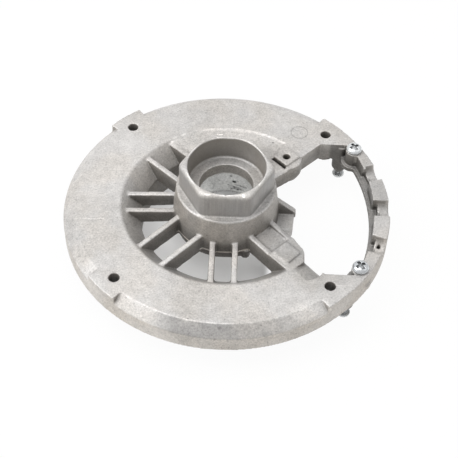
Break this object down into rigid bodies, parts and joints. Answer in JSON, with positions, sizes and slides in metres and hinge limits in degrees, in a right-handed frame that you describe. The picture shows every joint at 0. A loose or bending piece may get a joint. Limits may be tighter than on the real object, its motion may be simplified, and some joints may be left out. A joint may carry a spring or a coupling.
{
  "type": "motor end shield",
  "caption": "Die-cast aluminium end shield that closes a motor: bearing hub on ribs, ventilation windows, a wide terminal opening and fixing lugs on its rim.",
  "frame": {"origin": "on the bearing axis, in the plane of the disc's flat top face and of its four fixing holes", "axes": "+Z out of the bearing seat, +X towards the middle of the terminal opening"},
  "size_m": [0.171, 0.17, 0.0555],
  "materials": {
    "cast_aluminium": "as cast, satin, slightly mottled",
    "zinc_plated_steel": "bright zinc plating"
  },
  "bodies": {
    "root": {"end_shield": "cast_aluminium", "upper_screw_rear": "zinc_plated_steel", "upper_screw_front": "zinc_plated_steel", "lower_screw_rear": "zinc_plated_steel", "lower_screw_front": "zinc_plated_steel"}
  },
  "joints": []
}
